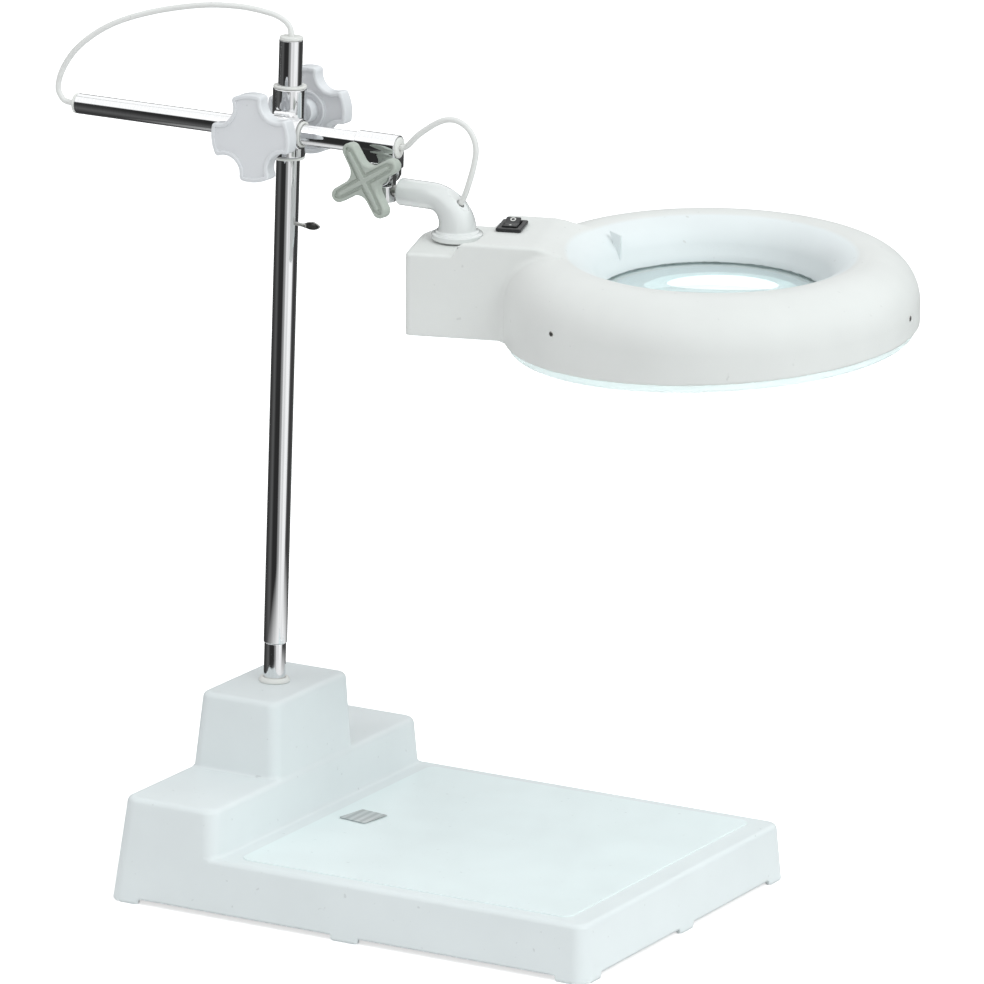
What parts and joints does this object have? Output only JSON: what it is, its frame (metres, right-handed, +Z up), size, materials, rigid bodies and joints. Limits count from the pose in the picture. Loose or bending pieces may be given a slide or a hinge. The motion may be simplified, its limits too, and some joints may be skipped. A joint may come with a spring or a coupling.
{
  "type": "ring magnifier lamp on bench stand",
  "caption": "Ring-shaped illuminated magnifier on a tilting elbow and sliding arm, cross-clamped to an upright rod that stands on a stepped, weighted bench base.",
  "frame": {"origin": "middle of the whole object's footprint, on the surface that it stands on (free cords not counted)", "axes": "+Z up the column; +X from the column over the work surface to the user; +Y across the base"},
  "size_m": [0.5335, 0.2766, 0.5137],
  "materials": {
    "white_moulding": "semi-gloss white moulding with a faint cool tint",
    "work_surface": "smooth white laminate sheet",
    "label_grey": "satin grey foil, blank",
    "black_plastic": "black moulded plastic, satin",
    "plated_steel": "zinc-plated steel",
    "nylon": "natural white nylon",
    "chrome": "bright chrome plate",
    "knob_plastic": "light grey-white moulded plastic, satin",
    "cross_knob_plastic": "warm grey moulded plastic, satin",
    "gloss_white": "glossy white enamel look",
    "head_white": "warm white moulding, very fine texture",
    "lens_glass": "clear polished glass, faint blue-green",
    "lamp_tube": "white phosphor-coated glass",
    "diffuser": "translucent opal acrylic",
    "cord_white": "white PVC sheath, satin"
  },
  "bodies": {
    "stand": {"base_shell": "white_moulding", "work_panel": "work_surface", "rating_label": "label_grey", "base_cover": "black_plastic", "cover_screw_1": "plated_steel", "cover_screw_2": "plated_steel", "cover_screw_3": "plated_steel", "cover_screw_4": "plated_steel", "ballast_weight": "plated_steel", "lamp_choke": "plated_steel", "terminal_block": "nylon", "mains_gland": "black_plastic", "column_spigot": "chrome", "column_ferrule": "nylon", "spigot_washer": "plated_steel", "spigot_nut": "plated_steel", "column_tube": "chrome", "column_cap": "nylon", "column_cord": "cord_white"},
    "stop": {"stop_screw": "plated_steel"},
    "slider": {"column_liner": "nylon"},
    "clamp": {"clamp_head": "chrome"},
    "arm_knob": {"arm_knob": "knob_plastic", "arm_knob_screw": "plated_steel"},
    "column_knob": {"column_knob": "knob_plastic", "column_knob_screw": "plated_steel"},
    "arm_bush": {"arm_liner": "nylon"},
    "arm": {"arm_tube": "chrome", "arm_cap": "nylon", "collar_plug": "nylon", "arm_collar": "chrome", "tilt_bolt": "plated_steel", "arm_cord": "cord_white"},
    "tilt_knob": {"tilt_knob": "cross_knob_plastic"},
    "knuckle": {"knuckle": "chrome"},
    "elbow": {"elbow": "gloss_white", "elbow_spigot": "plated_steel", "spigot_clip": "plated_steel", "swivel_stem": "plated_steel", "swivel_washer": "nylon", "swivel_nut": "plated_steel"},
    "head": {"head_shell": "head_white", "neck_cover": "head_white", "lens": "lens_glass", "lens_ring": "nylon", "ring_lamp": "lamp_tube", "lamp_cap": "nylon", "lamp_clip_1": "plated_steel", "lamp_clip_2": "plated_steel", "lamp_clip_3": "plated_steel", "diffuser": "diffuser", "rim_screw_1": "plated_steel", "rim_screw_2": "plated_steel", "rim_screw_3": "plated_steel", "starter": "nylon", "switch_frame": "black_plastic"},
    "rocker": {"switch_rocker": "black_plastic"}
  },
  "joints": [
    {"name": "stop_screw_turn", "type": "hinge", "parent": "stand", "child": "stop", "pos_m": [-0.1144, -0.0063, 0.3865], "axis": [1, 0, 0], "range_deg": [-180, 180]},
    {"name": "clamp_height", "type": "slide", "parent": "stand", "child": "slider", "axis": [0, 0, 1], "range_m": [-0.035, 0.022], "deforming": ["column_cord"]},
    {"name": "clamp_swing", "type": "hinge", "parent": "slider", "child": "clamp", "pos_m": [-0.1264, -0.0063, 0.4445], "axis": [0, 0, 1], "range_deg": [-170, 170]},
    {"name": "arm_knob_turn", "type": "hinge", "parent": "clamp", "child": "arm_knob", "pos_m": [-0.1264, -0.0488, 0.4445], "axis": [0, 1, 0], "range_deg": [-180, 180]},
    {"name": "column_knob_turn", "type": "hinge", "parent": "clamp", "child": "column_knob", "pos_m": [-0.1264, 0.0187, 0.45], "axis": [0, 1, 0], "range_deg": [-180, 180]},
    {"name": "arm_roll", "type": "hinge", "parent": "clamp", "child": "arm_bush", "pos_m": [-0.1264, -0.0243, 0.4445], "axis": [1, 0, 0], "range_deg": [-60, 60]},
    {"name": "arm_reach", "type": "slide", "parent": "arm_bush", "child": "arm", "axis": [1, 0, 0], "range_m": [-0.022, 0.08]},
    {"name": "tilt_knob_turn", "type": "hinge", "parent": "arm", "child": "tilt_knob", "pos_m": [-0.0519, -0.0483, 0.4285], "axis": [0, 1, 0], "range_deg": [-180, 180]},
    {"name": "head_tilt", "type": "hinge", "parent": "arm", "child": "knuckle", "pos_m": [-0.0519, -0.0243, 0.4285], "axis": [0, 1, 0], "range_deg": [-25, 45], "deforming": ["arm_cord"]},
    {"name": "elbow_roll", "type": "hinge", "parent": "knuckle", "child": "elbow", "pos_m": [-0.0364, -0.0243, 0.419], "axis": [1, 0, 0], "range_deg": [-40, 40]},
    {"name": "head_swivel", "type": "hinge", "parent": "elbow", "child": "head", "pos_m": [-0.0049, -0.02282, 0.39475], "axis": [0, -0.061, 0.9981], "range_deg": [-90, 90]},
    {"name": "switch_rock", "type": "hinge", "parent": "head", "child": "rocker", "pos_m": [0.02349, -0.00945, 0.40258], "axis": [0.9659, 0.2583, 0.0158], "range_deg": [-18, 0]}
  ]
}
